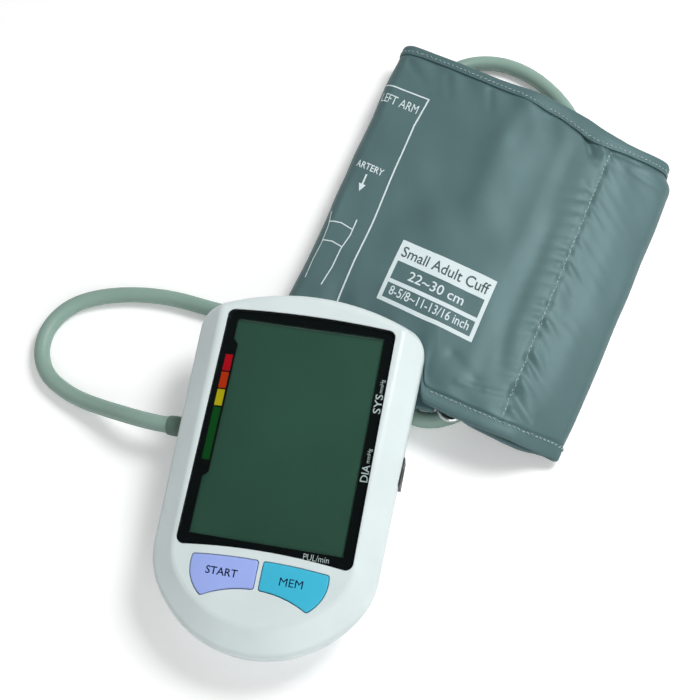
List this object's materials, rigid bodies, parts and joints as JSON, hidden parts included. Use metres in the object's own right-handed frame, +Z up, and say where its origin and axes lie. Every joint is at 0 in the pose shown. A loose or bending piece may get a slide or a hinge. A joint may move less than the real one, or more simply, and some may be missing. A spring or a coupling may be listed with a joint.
{
  "type": "upper-arm blood pressure monitor",
  "caption": "Tapered desktop blood pressure monitor with a large display and two wing-shaped keys, joined by an air hose to a closed fabric arm cuff lying flat.",
  "frame": {"origin": "on the table, under the middle of the monitor and cuff (the bounding box without the hose and its plug)", "axes": "+X to the monitor's right, +Y to its rear where the cuff lies, +Z up; the monitor's keys are at its front"},
  "size_m": [0.2716, 0.3139, 0.0423],
  "materials": {
    "casing": "satin white ABS",
    "casing_door": "satin white ABS",
    "foot_rubber": "matt grey rubber",
    "screw_steel": "zinc-plated steel",
    "lens": "clear acrylic, slightly smoked",
    "mask": "black print under the lens",
    "lcd": "dark green display glass, switched off",
    "inner_plastic": "natural ABS",
    "strip_rubber": "soft rubber",
    "board": "green solder mask",
    "chip": "black epoxy",
    "sensor": "white ceramic and plastic",
    "start_key": "periwinkle moulded key",
    "memory_key": "light blue moulded key",
    "silicone": "translucent silicone",
    "cell": "plain coloured sleeve over steel",
    "contact_metal": "nickel-plated steel",
    "motor_steel": "plated steel can",
    "pump_plastic": "black nylon",
    "crank_plastic": "acetal on a steel shaft",
    "socket_plastic": "grey moulded bush",
    "jack": "black connector body",
    "plug": "grey-green moulded plug",
    "hose": "grey-green silicone",
    "cuff_cloth": "grey-green coated nylon",
    "lining_cloth": "grey-green woven nylon",
    "bladder": "thin film",
    "binding_tape": "woven edge tape",
    "hook_tape": "nylon hook tape",
    "loop_tape": "nylon loop pile",
    "ring_metal": "nickel-plated steel wire",
    "port_plastic": "welded plastic flange"
  },
  "bodies": {
    "monitor": {"front_cover": "casing", "rear_cover": "casing", "rubber_feet": "foot_rubber", "case_screws": "screw_steel", "display_lens": "lens", "lens_mask": "mask", "lcd_panel": "lcd", "lcd_frame": "inner_plastic", "contact_strip": "strip_rubber", "main_board": "board", "board_screws": "screw_steel", "controller_chip": "chip", "board_parts": "chip", "pressure_sensor": "sensor", "button_pad": "silicone", "battery_cells": "cell", "battery_springs": "contact_metal", "battery_contacts": "contact_metal", "pump_motor": "motor_steel", "pump_head": "pump_plastic", "pump_sleeve": "strip_rubber", "air_tee": "inner_plastic", "release_valve": "motor_steel", "buzzer": "chip", "inner_tubes": "silicone", "air_socket": "socket_plastic", "socket_seal": "strip_rubber", "power_jack": "jack", "air_hose": "hose", "cuff_cover": "cuff_cloth", "cuff_lining": "lining_cloth", "cuff_bladder": "bladder", "top_binding": "binding_tape", "bottom_binding": "binding_tape", "cuff_tail": "lining_cloth", "hook_patch": "hook_tape", "loop_patch": "loop_tape", "d_ring": "ring_metal", "ring_loop": "cuff_cloth", "cuff_port": "port_plastic"},
    "door": {"battery_door": "casing_door"},
    "start_key": {"start_button": "start_key"},
    "memory_key": {"memory_button": "memory_key"},
    "pump_crank": {"pump_crank": "crank_plastic"},
    "plunger": {"valve_plunger": "contact_metal"},
    "plug": {"air_plug": "plug"}
  },
  "joints": [
    {"name": "battery_door_hinge", "type": "hinge", "parent": "monitor", "child": "door", "pos_m": [-0.04781, -0.04087, 0.002], "axis": [1, 0, 0], "range_deg": [0, 85]},
    {"name": "start_press", "type": "slide", "parent": "monitor", "child": "start_key", "axis": [0, 0.1115, -0.9938], "range_m": [0, 0.0008], "stiffness_N_per_m": 900, "springref_m": -0.0006},
    {"name": "memory_press", "type": "slide", "parent": "monitor", "child": "memory_key", "axis": [0, 0.1115, -0.9938], "range_m": [0, 0.0008], "stiffness_N_per_m": 900, "springref_m": -0.0006},
    {"name": "pump_turn", "type": "hinge", "parent": "monitor", "child": "pump_crank", "pos_m": [-0.0458, -0.02727, 0.017], "axis": [1, 0, 0], "continuous": true},
    {"name": "valve_pull", "type": "slide", "parent": "monitor", "child": "plunger", "axis": [0, 1, 0], "range_m": [0, 0.001], "stiffness_N_per_m": 600, "springref_m": -0.0004},
    {"name": "hose_plug_pull", "type": "slide", "parent": "monitor", "child": "plug", "axis": [-1, 0, 0], "range_m": [0, 0.012], "deforming": ["air_hose"]}
  ]
}
